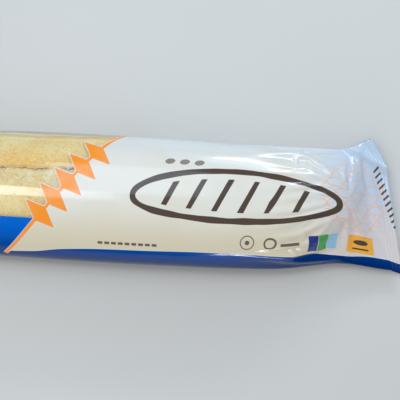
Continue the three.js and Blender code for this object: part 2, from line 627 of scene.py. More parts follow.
def finishTree(geometry, offset, material, sink):
    # Moves the points, and ends the tree in real meshes with their material
    tree = offset.tree
    move = newNode(tree, "GeometryNodeSetPosition", {"Geometry": geometry, "Offset": offset})
    real = newNode(tree, "GeometryNodeRealizeInstances", (move.outputs[0],))
    dress = newNode(tree, "GeometryNodeSetMaterial", {
        "Geometry": real.outputs[0], "Material": material})
    feed(dress.outputs[0], sink.inputs[0])


def shaped(made, tree, values, material):
    # Runs a tree on an object and leaves a plain mesh behind
    modifier = made.modifiers.new(tree.name, "NODES")
    modifier.node_group = tree
    for item in tree.interface.items_tree:
        if item.in_out == "INPUT" and item.name in values:
            modifier[item.identifier] = float(values[item.name])
        elif item.in_out == "INPUT" and item.name == "Material":
            modifier[item.identifier] = material
    shown = made.evaluated_get(bpy.context.evaluated_depsgraph_get())
    mesh = bpy.data.meshes.new_from_object(shown)
    mesh.name = made.name
    old = made.data
    made.modifiers.clear()
    made.data = mesh
    bpy.data.meshes.remove(old)


# The loaf's crust: its relief, mm, and its look
loafCrust = {
    "Cut Place": 21.5,  # mm from the middle towards +Y
    "Cut Width": 15.0,
    "Cut Depth": 1.7,
    "Cut Length": 395.0,
    "Lip Height": 1.2,
    "Edge Wander": 2.6,
    "Crumb Height": 2.3,
    "Crust Height": 1.5,
    "Under Film": 0.8,  # how far the crust stays below the plain form
    "Seed": 4.0,
}
loafColours = {
    "crust": colour(255, 239, 186),
    "golden": colour(252, 222, 152),
    "deep": colour(218, 172, 106),
    # darker crust for the grain, and also the painted shade line on the far side
    "crumb": colour(255, 246, 210),
    "flour": colour(255, 252, 234),
    "baked": colour(250, 206, 122),
    # painted shade for the slit under the lip
    "slit": colour(134, 84, 38),
}
crustLook = {
    "grainScale": 430.0,
    "poreScale": 1150.0,
    "lumpScale": 190.0,
    "slitPlace": 0.9,  # where the slit's painted shade lies, mm inside the torn edge
    "slitWidth": 0.42,
    "shadeLineInset": 7.0,  # the painted shade line runs this far inside the far side, mm
    "shadeLineWidth": 2.2,
    "reliefShare": 0.75,
    "relief": 0.0013,
}


def crustTree():
    tree, value, sink = formTree("crustRelief", loafCrust)
    x, y, z = (part * 1000.0 for part in parted(reading(tree, "GeometryNodeInputPosition")))
    seed = value["Seed"]

    # the torn edge wanders along the loaf
    slow = noise(joined(x * 0.02, seed), 1.0, 1.0)
    quickly = noise(joined(x * 0.16, seed, 3.0), 1.0, 3.0)
    bend = (slow - 0.5) * 2.4
    jag = (quickly - 0.5) * 1.9
    wander = (bend + jag) * value["Edge Wander"]
    off = y - value["Cut Place"] - wander
    width = value["Cut Width"]

    reach = value["Cut Length"] * 0.5
    ends = fade(abs(x), reach - 30.0, reach, 1, 0)
    above = fade(z, 24.0, 32.0)
    place = ends * above
    rampIn = fade(off, width * -1.15, width * -0.8)
    rampOut = fade(off, -1.0, 0.4, 1, 0)
    torn = rampIn * rampOut * place

    # a lifted lip of crust along the +Y edge, with a shallow slit at its foot, which the crust's
    # colour darkens with painted shade
    lipUp = fade(off, -0.4, 0.9)
    lipDown = fade(off, 1.0, 11.0, 1, 0)
    lip = lipUp * lipDown * place
    slit = bell(off + 1.3) * place

    millimetres = joined(x, y, z)
    stretched = joined(x * 0.55, y, z + seed)
    crumb = noise(stretched, 0.22, 5.0, 0.62, 0.6) - 0.5
    broad = noise(millimetres, 0.028, 2.0) - 0.5
    fine = noise(millimetres, 0.16, 4.0, 0.6) - 0.5

    raised = (
        torn * value["Cut Depth"] * -1.0 - value["Under Film"]
        + torn * crumb * (value["Crumb Height"] * 2.4)
        + lip * value["Lip Height"]
        + slit * -0.5
        + broad * (value["Crust Height"] * 1.6)
        + fine * (value["Crust Height"] * 0.45)
    )
    outward = parted(reading(tree, "GeometryNodeInputNormal"))
    offset = joined(*(part * raised * mm for part in outward))

    geometry = value["Geometry"]
    for name, kept in (("cutOff", off), ("cutPlace", place)):
        inputs = {"Name": name, "Geometry": geometry, "Value": kept}
        store = newNode(tree, "GeometryNodeStoreNamedAttribute", inputs,
                        data_type="FLOAT", domain="POINT")
        geometry = store.outputs[0]
    finishTree(geometry, offset, value["Material"], sink)
    return tree


def crustMaterial():
    material, tree, output = nodeMaterial("paleCrust")
    look, colours = crustLook, loafColours
    place = reading(tree, "ShaderNodeTexCoord", "Object")
    off, reach = (reading(tree, "ShaderNodeAttribute", "Fac", attribute_name=name)
                  for name in ("cutOff", "cutPlace"))
    grain = noise(place, look["grainScale"], 4.0, 0.68)
    pores = noise(place, look["poreScale"], 3.0, 0.6)
    lumps = noise(place, look["lumpScale"], 5.0, 0.68, 0.4)

    # the torn edge is ragged, and the painted shade of its slit comes and goes
    rag = calc("MULTIPLY_ADD", grain, 3.6, -1.8) + calc("MULTIPLY_ADD", lumps, 3.0, -1.5)
    off = off + rag
    slit = bell((off + look["slitPlace"]) / look["slitWidth"])
    comes = fade(noise(place, 70.0, 2.0), 0.4, 0.56, 0.2, 1.0)
    slit = slit * comes * reach
    torn = fade(off, -19.0, -12.0) * (fade(off, -1.0, 0.3, 1.0, 0.0) * reach)
    lip = fade(off, -0.4, 0.8) * (fade(off, 2.0, 22.0, 1.0, 0.0) * reach)
    fringe = (fade(off, -2.6, -1.4)
              * (fade(off, -0.2, 0.8, 1.0, 0.0) * fade(noise(place, 300.0, 2.0), 0.5, 0.6)))

    # painted shade: a soft, darker line where the far side turns under
    _, y, _ = parted(place)
    inside = loafForm["width"] / 2 - look["shadeLineInset"]
    line = y * 1000.0 - calc("MULTIPLY_ADD", noise(place, 14.0, 2.0), 5.0, inside)
    line = bell(line / look["shadeLineWidth"])

    patches = fade(noise(place, 24.0, 4.0, 0.6), 0.38, 0.66)
    tone = blended(patches, colours["crust"], colours["golden"])
    tone = blended(lip * 0.75, tone, colours["baked"])
    # painted shade along the far side's turn
    tone = blended(line * 0.6, tone, colours["deep"])
    tone = blended(fade(lumps, 0.56, 0.78, 0.0, 0.3), tone, colours["baked"])
    crumbTone = blended(fade(lumps, 0.35, 0.68), colours["crumb"], colours["golden"])
    tone = blended(torn * 0.85, tone, crumbTone)
    tone = blended(fade(grain, 0.53, 0.68, 0.0, 0.6), tone, colours["flour"])
    tone = blended(fade(grain, 0.34, 0.46, 0.34, 0.0), tone, colours["deep"])
    tone = blended(fringe * reach, tone, colours["flour"])
    # painted shade in the slit under the lifted lip
    tone = blended(slit * 0.8, tone, colours["slit"])

    height = pores * 0.3 + grain
    height = height + lumps * calc("MULTIPLY_ADD", torn, 2.0, 0.8)
    height = height - slit * 0.6
    bump = newNode(tree, "ShaderNodeBump", {
        "Strength": look["reliefShare"], "Distance": look["relief"], "Height": height})
    shader = newNode(tree, "ShaderNodeBsdfPrincipled", {
        "Base Color": tone,
        "Roughness": fade(grain, 0.3, 0.7, 0.62, 0.85),
        "Normal": bump.outputs[0],
        "Specular IOR Level": 0.2,
        "Subsurface Weight": 0.1,
        "Subsurface Radius": (0.006, 0.003, 0.0015),
        "Subsurface Scale": 0.4,
    })
    feed(shader.outputs[0], output.inputs[0])
    return material


# Where the loaf's rings and their points lie: finest in the window and round the cut
loafRows = {
    "end": 0.999,
    "seenTo": 0.2,
    "seen": 310,
    "hidden": 60,
    "crowding": 1.15,  # over 1 sets the rings closer towards the ends
    "arcs": ((0, 48, 2.4), (48, 92, 0.5), (92, 180, 1.6), (180, 360, 3.0)),  # degrees from +Y
}


def wholeLoaf():
    rows = loafRows
    places = np.concatenate([
        np.linspace(-rows["end"], rows["seenTo"], rows["seen"], endpoint=False),
        np.linspace(rows["seenTo"], rows["end"], rows["hidden"])])
    places = np.sign(places) * (1 - (1 - np.abs(places)) ** rows["crowding"])
    turn = np.radians(np.concatenate([np.arange(*arc) for arc in rows["arcs"]]))
    made = loafMesh("loaf", places, turn, mm)
    spots = np.empty(len(made.data.vertices) * 3)
    made.data.vertices.foreach_get("co", spots)
    spots = spots.reshape(-1, 3)
    spots[:, 1] += bentAside(spots[:, 0] / mm) * mm
    spots[:, 0] += packShift * mm
    made.data.vertices.foreach_set("co", spots.ravel())
    shaped(made, crustTree(), loafCrust, crustMaterial())
    return made


loaf = wholeLoaf()
print("loaf shaped:", len(loaf.data.polygons), "faces")

# The film is cut flat and wrapped over the settled form
windowCut = {
    "stemPixels": ((37, 217), (113, 141)),  # the slanted edge between window and white film
    "sidePixel": (20, 217),  # where the blue side begins, along the window
    # where the blue side begins, under the white film
    "bandPixels": ((30, 251), (61, 249), (150, 251), (230, 254), (301, 256), (345, 256),
                   (370, 257), (396, 263)),
    "leftEdge": -205.0,  # mm along the flat film
    "farEdge": 112.0,  # mm round from the top middle, on the +Y side
}
sheetGrid = {
    "columns": 240,
    "sealStep": 0.5,
    "sealMargin": 0.3,  # the body's rows end this far before the seal's
    "nearCut": 6.0,
    "cutSnap": 0.02,
    "weld": 2e-6,  # m
}

stemFoot, stemTop = (np.array(fromPhoto(*pixel)) for pixel in windowCut["stemPixels"])
stemLine = (stemTop - stemFoot) / np.linalg.norm(stemTop - stemFoot)
stemNormal = np.array([stemLine[1], -stemLine[0]])  # towards the white film
blueEdge = fromPhoto(*windowCut["sidePixel"])[1]
bandEdge = sorted(fromPhoto(*pixel) for pixel in windowCut["bandPixels"])
sheetLength = rowLengths[-1] - rowLengths[0]
sheetMiddle = (rowLengths[-1] + rowLengths[0]) / 2
print("window placed: blue side from", round(blueEdge, 1), "mm round the film")


def flatUV(along, across):
    return (along - sheetMiddle) / sheetLength + 0.5, across / (2 * halfSheet) + 0.5


def sheetRows():
    slack = settling["slack"]
    fine = np.arange(sealStart, halfLength, sheetGrid["sealStep"]) * slack
    fine = np.append(fine, rowLengths[-1])
    between = np.interp(np.arange(0, rowCount - 0.75, 0.5), np.arange(rowCount), rowLengths)
    body = between[np.abs(between) < fine[0] - sheetGrid["sealMargin"]]
    return np.concatenate([-fine[::-1], body, fine])


def onWindow(along, across):
    left = (along - stemFoot[0]) * stemNormal[0] + (across - stemFoot[1]) * stemNormal[1] < 0
    return (left and along > windowCut["leftEdge"] and blueEdge < across < windowCut["farEdge"])


def cutLines():
    # A point on each edge of the window, and the direction across it
    return (
        (Vector((*stemFoot, 0)), Vector((*stemNormal, 0))),
        (Vector((windowCut["leftEdge"], 0, 0)), Vector((1, 0, 0))),
        (Vector((0, blueEdge, 0)), Vector((0, 1, 0))),
        (Vector((0, windowCut["farEdge"], 0)), Vector((0, 1, 0))),
    )


def flatSheet(rows):
    # The flat film as a mesh with corners along every edge of the window
    columns = sheetGrid["columns"]
    around = np.linspace(-halfSheet, halfSheet, columns + 1)
    faces = gridFaces(len(rows), columns + 1, closed=False, turned=True)
    blank = newObject("filmBlank", [(a, q, 0) for a in rows for q in around], faces)
    sheet = bmesh.new()
    sheet.from_mesh(blank.data)
    bpy.data.objects.remove(blank)
    for point, normal in cutLines():
        near = [f for f in sheet.faces
                if abs((f.calc_center_median() - point).dot(normal)) < sheetGrid["nearCut"]]
        edges = {e for f in near for e in f.edges}
        corners = {v for f in near for v in f.verts}
        bmesh.ops.bisect_plane(sheet, geom=[*corners, *edges, *near], plane_co=point,
                               plane_no=normal, dist=sheetGrid["cutSnap"])
    return sheet


def closedEnds(sheet, flatMap, places, rows):
    # Closes each cut end of the pack between its two layers
    columns = sheetGrid["columns"]
    for row, outward in ((0, False), (rows - 1, True)):
        ring = [row * (columns + 1) + i for i in range(columns + 1)]
        for top in range(columns // 4, 3 * columns // 4):
            loop = [ring[top], ring[top + 1], ring[underOf(top + 1, columns)],
                    ring[underOf(top, columns)]]
            loop = list(dict.fromkeys(loop))[::-1 if outward else 1]
            if len(loop) < 3:
                continue
            face = sheet.faces.new([sheet.verts[i] for i in loop])
            face.smooth = False
            for corner in face.loops:
                corner[flatMap].uv = flatUV(*places[corner.vert.index])


def pieceOf(sheet, name, kept):
    part = sheet.copy()
    bmesh.ops.delete(part, geom=[f for f in part.faces if f.material_index != kept],
                     context="FACES")
    for face in part.faces:
        face.material_index = 0
    piece = newObject(name, [], [])
    part.to_mesh(piece.data)
    part.free()
    return piece


def wrappedFilm():
    rows = sheetRows()
    sheet = flatSheet(rows)
    flatMap = sheet.loops.layers.uv.new("OFBake")
    intoSeal = sheet.verts.layers.float.new("intoSeal")
    fromCorner = sheet.verts.layers.float.new("fromCorner")
    for face in sheet.faces:
        middle = face.calc_center_median()
        face.material_index = 1 if onWindow(middle.x, middle.y) else 0
        face.smooth = True
        for corner in face.loops:
            corner[flatMap].uv = flatUV(corner.vert.co.x, corner.vert.co.y)
    sheet.verts.ensure_lookup_table()
    places = np.array([v.co[:2] for v in sheet.verts])
    wrapped = onPack(places[:, 0], places[:, 1])
    for vert, (a, q), point in zip(sheet.verts, places, wrapped):
        vert[intoSeal] = max(0.0, abs(a) / settling["slack"] - sealStart)
        vert[fromCorner] = abs(abs(q) - halfSheet / 2)
        vert.co = Vector(point) * mm
    closedEnds(sheet, flatMap, places, len(rows))
    bmesh.ops.remove_doubles(sheet, verts=sheet.verts, dist=sheetGrid["weld"])
    bmesh.ops.recalc_face_normals(sheet, faces=sheet.faces)
    top = max(sheet.faces, key=lambda f: f.calc_center_median().z)
    if top.normal.z < 0:
        bmesh.ops.reverse_faces(sheet, faces=sheet.faces)
    made = pieceOf(sheet, "printed_wrap", 0), pieceOf(sheet, "clear_window", 1)
    sheet.free()
    return made


sealFinish = {
    "Crimp Pitch": 3.0,
    "Crimp Rise": 0.4,
    "Tooth Pitch": 4.7,
    "Tooth Depth": 1.3,
    "Seal Depth": 12.0,
}


def sealTree():
    # Crimps across each seal, and the toothed cut along its edge
    tree, value, sink = formTree("sealFinish", sealFinish)
    into, corner = (reading(tree, "GeometryNodeInputNamedAttribute", "Attribute", {"Name": name},
                            data_type="FLOAT") for name in ("intoSeal", "fromCorner"))
    turn = into / value["Crimp Pitch"] * (2 * math.pi)
    inside = fade(into, 0.0, 1.5)
    crimp = calc("SINE", turn) * inside * (value["Crimp Rise"] * mm)
    half = value["Tooth Pitch"] * 0.5
    teeth = calc("PINGPONG", corner, half) / half
    atEdge = fade(into, value["Seal Depth"] - 2.0, value["Seal Depth"])
    side = calc("SIGN", parted(reading(tree, "GeometryNodeInputPosition"))[0])
    reach = teeth * atEdge * (value["Tooth Depth"] * -mm)
    finishTree(value["Geometry"], joined(reach * side, 0.0, crimp), value["Material"], sink)
    return tree


# The print: plain fields and simple figures, drawn on the flat film in mm
ink = {
    "white": colour(223, 221, 212),
    "cream": colour(214, 204, 176),
    # painted light for the white film: a bluish sky reflection, and a pinkish grey shade where no
    # loaf lies behind it
    "paintedCoolTint": colour(182, 202, 224),
    "paintedBareShade": colour(212, 206, 209),
    "blue": colour(0, 101, 206),
    # dark blue ink of the machine mark, and also the painted shade on the lower blue side
    "deepBlueInkAndShade": colour(0, 40, 100),
    "orange": colour(247, 148, 48),
    "paleOrange": colour(238, 176, 132),
    "brown": colour(84, 70, 62),
    "grey": colour(140, 132, 124),
    "gold": colour(240, 172, 70),
    "navy": colour(44, 58, 130),
    "pale": colour(150, 196, 224),
    "green": colour(70, 160, 84),
}
figures = {  # pixel of the photograph under each one's middle, and its sizes in mm
    "scallops": {"pixel": (357, 200), "half": (7.4, 5.0), "pitch": (16.0, 11.0), "line": 0.9,
                 "areaUp": 6.0, "areaHalf": (38.0, 44.0)},
    "loaf": {"pixel": (236, 196), "turn": -1.0, "half": (97.0, 22.0), "bow": 0.0006,
             "line": 5.4, "lineChange": 2.2, "slashHalf": 2.8, "slashPitch": 25.0,
             "slashLean": 0.55, "slashInset": 7.5, "slashReach": 80.0},
    "grains": {"pixel": (185, 162), "half": (4.6, 2.8), "pitch": 14.0, "lean": -0.4,
               "reach": 20.0},
    "dashes": {"pixel": (127, 244), "half": (2.3, 1.25), "pitch": 6.4, "reach": 28.8},
    "smallRing": {"pixel": (247, 243), "radius": 6.4, "line": 1.0, "dot": 2.2},
    "boldRing": {"pixel": (269, 244), "radius": 5.0, "line": 1.9},
    "bar": {"pixel": (290, 245), "half": (9.0, 1.3)},
    "tile": {"pixel": (323, 243), "half": (4.8, 9.0), "pitch": 10.2,
             "inks": ("navy", "green", "pale")},
    "block": {"pixel": (361, 245), "half": (12.0, 10.0), "ovalUp": 2.2, "ovalHalf": (6.4, 2.9),
              "barDown": 5.2, "barHalf": (7.0, 0.9)},
    "column": {"pixel": (386, 198), "turn": 102.0, "half": (1.1, 3.6), "pitch": 6.0,
               "lean": 0.5, "reach": 33.0},
}
printEdges = {  # mm on the flat film
    "blueBeneath": 38.0,  # the blue ends this far from the back seal
    "whiteLine": 0.7,  # fine pale line along the blue and round the stem
    "capRings": ((219.0, 2.4), (224.0, 0.9)),  # place and width of the rings at the far end
    "stemHalf": (84.0, 1.5),
    "stemMiddle": 34.0,
    "lozengeHalf": (7.8, 18.0),
    "lozengePitch": 19.0,
    "lozengeStart": 4.0,
    "chainMiddle": 42.0,
    "chainHalf": 47.5,
    "panelMiddle": (60.0, 112.0),
    "panelHalf": (62.0, 18.0),
    "ruleHalf": 0.45,
    "rulePitch": 6.0,
    "panelMargin": 4.0,
    "eyeMark": (225.0, 6.0),  # place along the film, and in from its edge
    "eyeMarkHalf": (6.0, 3.4),
}


def moved(along, across, place, degrees=0.0):
    # The flat film's places, seen from a figure's own middle and turn
    x = along - float(place[0])
    y = across - float(place[1])
    if not degrees:
        return x, y
    c, s = math.cos(math.radians(degrees)), math.sin(math.radians(degrees))
    return x * c + y * s, y * c - x * s


def boxGap(x, y, halfX, halfY):
    # How far a place lies outside a figure, mm; less than nothing inside it
    return calc("MAXIMUM", abs(x) - halfX, abs(y) - halfY)


def lozengeGap(x, y, halfX, halfY):
    total = abs(x) / halfX + abs(y) / halfY
    return (total - 1.0) * (halfX * halfY / math.hypot(halfX, halfY))


def ovalGap(x, y, halfX, halfY):
    u, v = x / halfX, y / halfY
    length = calc("SQRT", u * u + v * v)
    u, v = u / halfX, v / halfY
    slope = calc("SQRT", u * u + calc("MULTIPLY_ADD", v, v, 1e-6))
    return (length - 1.0) * (length / slope)


def lineOf(gap, width):
    return abs(gap) - width / 2


def repeated(x, pitch):
    return calc("WRAP", x, pitch / 2, -pitch / 2)


def both(first, second):
    return calc("MAXIMUM", first, second)


def either(first, second):
    return calc("MINIMUM", first, second)


def inked(gap, blur=0.3):
    # 1 inside a figure and 0 outside it, with a soft printed edge
    return calc("MULTIPLY_ADD", gap, -1 / blur, 0.5, clamp=True)


def inkedOver(field, gap, name, strength=1.0):
    # A figure printed over what is there already
    cover = inked(gap)
    if strength < 1:
        cover = cover * strength
    return blended(cover, field, ink[name])


def edgeCurve(along, places):
    # A line on the flat film through some of its points
    node = along.tree.nodes.new("ShaderNodeFloatCurve")
    curve = node.mapping.curves[0]
    spots = [(0.0, places[0][1]), *((a / sheetLength + 0.5, q) for a, q in places),
             (1.0, places[-1][1])]
    while len(curve.points) < len(spots):
        curve.points.new(0.5, 0.5)
    for point, (a, q) in zip(curve.points, spots):
        point.location = (a, q / (2 * halfSheet) + 0.5)
    node.mapping.update()
    feed(calc("MULTIPLY_ADD", along, 1 / sheetLength, 0.5), node.inputs["Value"])
    return calc("MULTIPLY_ADD", Field(node.outputs[0]), 2 * halfSheet, -halfSheet)


def marksOver(field, seen):
    # The small marks over the blue band, and the tile and block beside them
    dashes, x, y = seen("dashes")
    marks = boxGap(repeated(x, dashes["pitch"]), y, *dashes["half"])
    marks = both(marks, abs(x) - dashes["reach"])
    for name in ("smallRing", "boldRing"):
        ring, x, y = seen(name)
        gap = ovalGap(x, y, ring["radius"], ring["radius"])
        marks = either(marks, lineOf(gap, ring["line"]))
        if "dot" in ring:
            marks = either(marks, ovalGap(x, y, ring["dot"], ring["dot"]))
    bar, x, y = seen("bar")
    marks = either(marks, boxGap(x, y, *bar["half"]))
    field = inkedOver(field, marks, "brown", 0.9)

    tile, x, y = seen("tile")
    for step, name in enumerate(tile["inks"]):
        stripe = boxGap(x - (step - 1) * tile["pitch"], y, *tile["half"])
        field = inkedOver(field, stripe, name)
    block, x, y = seen("block")
    field = inkedOver(field, boxGap(x, y, *block["half"]), "gold")
    mark = either(ovalGap(x, y - block["ovalUp"], *block["ovalHalf"]),
                  boxGap(x, y + block["barDown"], *block["barHalf"]))
    return inkedOver(field, mark, "brown")


def loafFigure(seen, flatPlace):
    # An outline and six slashes, drawn with a broad pen
    form, x, y = seen("loaf")
    y = y + x * x * form["bow"]
    pen = (noise(flatPlace, 0.035, 1.0) - 0.5) * form["lineChange"]
    outline = ovalGap(x, y, *form["half"])
    stroke = lineOf(outline, form["line"]) + pen
    slashX = x - y * form["slashLean"]
    pitch = form["slashPitch"]
    slash = abs(repeated(slashX + pitch / 2, pitch)) - form["slashHalf"]
    slash = both(slash, outline + form["slashInset"])
    slash = both(slash, abs(slashX) - form["slashReach"])
    return either(stroke, slash + pen * 0.5)


def scallopRings(seen):
    # Rings in rows, each row half a ring further on than the last
    form, x, y = seen("scallops")
    pitchX, pitchY = form["pitch"]
    rowsUp = 200.0  # more than the film reaches, so that every row counts upwards
    row = calc("PINGPONG", calc("FLOOR", (y + rowsUp) / pitchY), 1.0) * (pitchX / 2)
    ringX = repeated(x + row, pitchX)
    ringY = repeated(y + (rowsUp - pitchY / 2), pitchY)
    rings = lineOf(ovalGap(ringX, ringY, *form["half"]), form["line"])
    return both(rings, ovalGap(x, y - form["areaUp"], *form["areaHalf"]))


def whiteField(along, across, flatPlace):
    # White, a little creamy in patches, with painted warm shade towards the near side
    patchy = fade(noise(flatPlace, 0.02, 2.0), 0.4, 0.7)
    field = blended(patchy * 0.25, ink["white"], ink["cream"])
    # painted warm shade: the film turns cream towards the near side
    field = blended(fade(across, -8.0, -44.0, 0.0, 0.8), field, ink["cream"])

    # painted cool reflection of the sky on the far side, and painted cool shade where no loaf lies
    # behind the film
    paintedCoolShare = fade(abs(along), 180.0, 255.0, 0.0, 0.85)
    paintedCoolShare = both(paintedCoolShare, fade(across, 22.0, 58.0, 0.0, 0.3))
    paintedCoolTint = blended(fade(across, -35.0, 30.0), ink["paintedBareShade"], ink["paintedCoolTint"])
    return blended(paintedCoolShare, field, paintedCoolTint)


def grainsOver(field, seen):
    # Three small grains over the loaf figure
    form, x, y = seen("grains")
    grain = ovalGap(repeated(x, form["pitch"]) + y * form["lean"], y, *form["half"])
    grain = both(grain, abs(x) - form["reach"])
    return inkedOver(field, grain, "grey")


def columnOver(field, seen):
    # A column of slanted strokes beside the seal
    form, x, y = seen("column")
    stroke = boxGap(repeated(x + y * form["lean"], form["pitch"]), y, *form["half"])
    stroke = both(stroke, abs(x) - form["reach"])
    return inkedOver(field, stroke, "brown")


def blueOver(field, along, across, stemY):
    # Blue on the near side and at the far end, darker downwards with painted shade, with a fine
    # pale line along its edge
    edges = printEdges
    band = across - edgeCurve(along, bandEdge)
    besideWindow = both(across - blueEdge, stemY * -1.0)
    underneath = edges["blueBeneath"] - halfSheet - across
    blueGap = either(both(band, underneath), both(besideWindow, underneath))
    blueGap = either(blueGap, along - windowCut["leftEdge"])
    # painted shade: the blue darkens away from its top edge, where the near side turns from the
    # light
    paintedLitShare = fade(across, bandEdge[2][1] - 22.0, blueEdge)
    blue = blended(paintedLitShare, ink["deepBlueInkAndShade"], ink["blue"])
    field = inkedOver(field, blueGap - edges["whiteLine"], "white")
    field = blended(inked(blueGap), field, blue)
    rings = [lineOf(along + place, width) for place, width in edges["capRings"]]
    return inkedOver(field, either(*rings), "white")


def stemOver(field, stemX, stemY, flatPlace):
    # A slanted orange stem with lozenges threaded on it, over window and white film alike
    edges = printEdges
    threaded = repeated(stemX - edges["lozengeStart"], edges["lozengePitch"])
    chain = lozengeGap(threaded, stemY, *edges["lozengeHalf"])
    chain = both(chain, abs(stemX - edges["chainMiddle"]) - edges["chainHalf"])
    stemHalf = edges["stemHalf"]
    stem = both(abs(stemY) - stemHalf[1], abs(stemX - edges["stemMiddle"]) - stemHalf[0])
    figure = either(chain, stem)
    rim = inked(figure - edges["whiteLine"])
    field = blended(rim * 0.8, field, ink["white"])
    warm = fade(noise(flatPlace, 0.05, 2.0), 0.35, 0.7, 0.0, 0.25)
    orange = blended(warm, ink["orange"], ink["paleOrange"])
    return blended(inked(figure), field, orange), rim


def undersideOver(field, along, across):
    # A framed panel of plain rules
    edges = printEdges
    x, y = moved(along, across, edges["panelMiddle"])
    border = boxGap(x, y, *edges["panelHalf"])
    rules = abs(repeated(y, edges["rulePitch"])) - edges["ruleHalf"]
    rules = both(rules, border + edges["panelMargin"])
    rules = either(rules, lineOf(border, 2 * edges["ruleHalf"]))
    field = inkedOver(field, rules, "brown", 0.85)

    # and the mark that the packing machine reads, on the back seal
    markPlace, markIn = edges["eyeMark"]
    x, y = moved(along, across, (markPlace, markIn - halfSheet))
    return inkedOver(field, boxGap(x, y, *edges["eyeMarkHalf"]), "deepBlueInkAndShade")


def printGroup():
    tree = bpy.data.node_groups.new("packPrint", "ShaderNodeTree")
    for name, kind in (("Colour", "NodeSocketColor"), ("Cover", "NodeSocketFloat")):
        tree.interface.new_socket(name, in_out="OUTPUT", socket_type=kind)
    sink = tree.nodes.new("NodeGroupOutput")
    u, v, _ = parted(reading(tree, "ShaderNodeUVMap", uv_map="OFBake"))
    along = calc("MULTIPLY_ADD", u, sheetLength, sheetMiddle - sheetLength / 2)
    across = calc("MULTIPLY_ADD", v, 2 * halfSheet, -halfSheet)
    flatPlace = joined(along, across)

    def seen(name):
        # A figure's sizes, and the film's places from its own middle
        form = figures[name]
        return form, *moved(along, across, fromPhoto(*form["pixel"]), form.get("turn", 0.0))

    # each print goes over the ones before it
    field = whiteField(along, across, flatPlace)
    field = inkedOver(field, scallopRings(seen), "paleOrange", 0.75)
    field = inkedOver(field, loafFigure(seen, flatPlace), "brown")
    field = grainsOver(field, seen)
    field = marksOver(field, seen)
    field = columnOver(field, seen)
    lean = math.degrees(math.atan2(stemLine[1], stemLine[0]))
    stemX, stemY = moved(along, across, stemFoot, lean)
    field = blueOver(field, along, across, stemY)
    field, rim = stemOver(field, stemX, stemY, flatPlace)
    field = undersideOver(field, along, across)
    feed(field, sink.inputs["Colour"])
    feed(rim, sink.inputs["Cover"])
    return tree


filmFinish = {
    "wrinkle": 0.4,
    "wrinkleDepth": 0.001,
    "calm": 0.06,  # what is left of the wrinkles where the film is tight
    "gloss": 0.12,
    "clearHaze": 0.04,
    "clearTint": (0.99, 0.99, 0.985, 1),
    "bending": 1.62,  # how strongly the clear film mirrors at a low angle
    "mirrorShare": 1.4,
    "mirrorMost": 0.35,
}
packPrint = printGroup()


def filmBump(tree):
    # Fine puckers of thin film: long ripples, small creases and a slight grain
    u, v, _ = parted(reading(tree, "ShaderNodeUVMap", uv_map="OFBake"))
    along = u * sheetLength
    across = v * (2 * halfSheet)
    ripples = noise(joined(along * 0.022, across * 0.11), 1.0, 3.0, 0.55, 0.4)
    creases = noise(joined(along * 0.07, across * 0.16, 7.0), 1.0, 3.0, 0.5, 1.6)
    grain = noise(joined(along, across), 1.4, 2.0)
    height = ripples + abs(creases - 0.5) * -0.55
    # the film is tight over the loaf and slack towards its ends and sides
    ends = fade(abs(along - sheetLength / 2), 110.0, 235.0)
    sides = fade(abs(across - halfSheet), 45.0, 75.0, 0.0, 0.7)
    height = height * (calc("MAXIMUM", ends, sides) + filmFinish["calm"]) + grain * 0.02
    bump = newNode(tree, "ShaderNodeBump", {
        "Strength": filmFinish["wrinkle"], "Distance": filmFinish["wrinkleDepth"],
        "Height": height})
    return bump.outputs[0], ripples


def printedLook(tree):
    # The printed film's shader, with what else the clear film needs of it
    printed = newNode(tree, "ShaderNodeGroup", node_tree=packPrint)
    normal, ripples = filmBump(tree)
    gloss = filmFinish["gloss"]
    shader = newNode(tree, "ShaderNodeBsdfPrincipled", {
        "Base Color": printed.outputs["Colour"],
        "Roughness": fade(ripples, 0.3, 0.7, gloss - 0.04, gloss + 0.07),
        "Normal": normal,
        "Specular IOR Level": 0.35,
        "Coat Weight": 0.25,
        "Coat Roughness": 0.05,
    })
    return shader, normal, printed.outputs["Cover"]


def wrapMaterial():
    material, tree, output = nodeMaterial("glossyPrintedFilm")
    feed(printedLook(tree)[0].outputs[0], output.inputs[0])
    return material


def windowMaterial():
    # Clear film that shows the loaf, with the orange figures printed over part of it
    material, tree, output = nodeMaterial("clearFilm")
    printed, normal, cover = printedLook(tree)
    through = newNode(tree, "ShaderNodeBsdfTransparent", {"Color": filmFinish["clearTint"]})
    shine = newNode(tree, "ShaderNodeBsdfGlossy", {
        "Roughness": filmFinish["clearHaze"], "Normal": normal})
    facing = reading(tree, "ShaderNodeFresnel", 0, {
        "IOR": filmFinish["bending"], "Normal": normal})
    mirrored = calc("MINIMUM", facing * filmFinish["mirrorShare"], filmFinish["mirrorMost"])
    clear = newNode(tree, "ShaderNodeMixShader", (
        mirrored, through.outputs[0], shine.outputs[0]))
    covered = newNode(tree, "ShaderNodeMixShader", (
        cover, clear.outputs[0], printed.outputs[0]))
    feed(covered.outputs[0], output.inputs[0])
    return material


printedFilm, clearFilm = wrapMaterial(), windowMaterial()
printedWrap, clearWindow = wrappedFilm()
ribs = sealTree()
shaped(printedWrap, ribs, sealFinish, printedFilm)
shaped(clearWindow, ribs, sealFinish, clearFilm)
print("film wrapped:", len(printedWrap.data.polygons), "and", len(clearWindow.data.polygons))

# The back seal: the film's two long edges, pressed together and folded flat
backSeal = {
    "inset": 0.6,
    "width": 12.0,
    "columns": 9,
    "low": 0.1,  # how far its two faces stand off the film
    "high": 0.3,
    "Rib Pitch": 1.6,
    "Rib Rise": 0.06,
}


def filmNormals(along, across):
    step = 0.6
    alongWay = onPack(along + step, across) - onPack(along - step, across)
    acrossWay = onPack(along, across + step) - onPack(along, across - step)
    normal = np.cross(alongWay, acrossWay)
    return normal / np.maximum(np.linalg.norm(normal, axis=-1, keepdims=True), 1e-9)


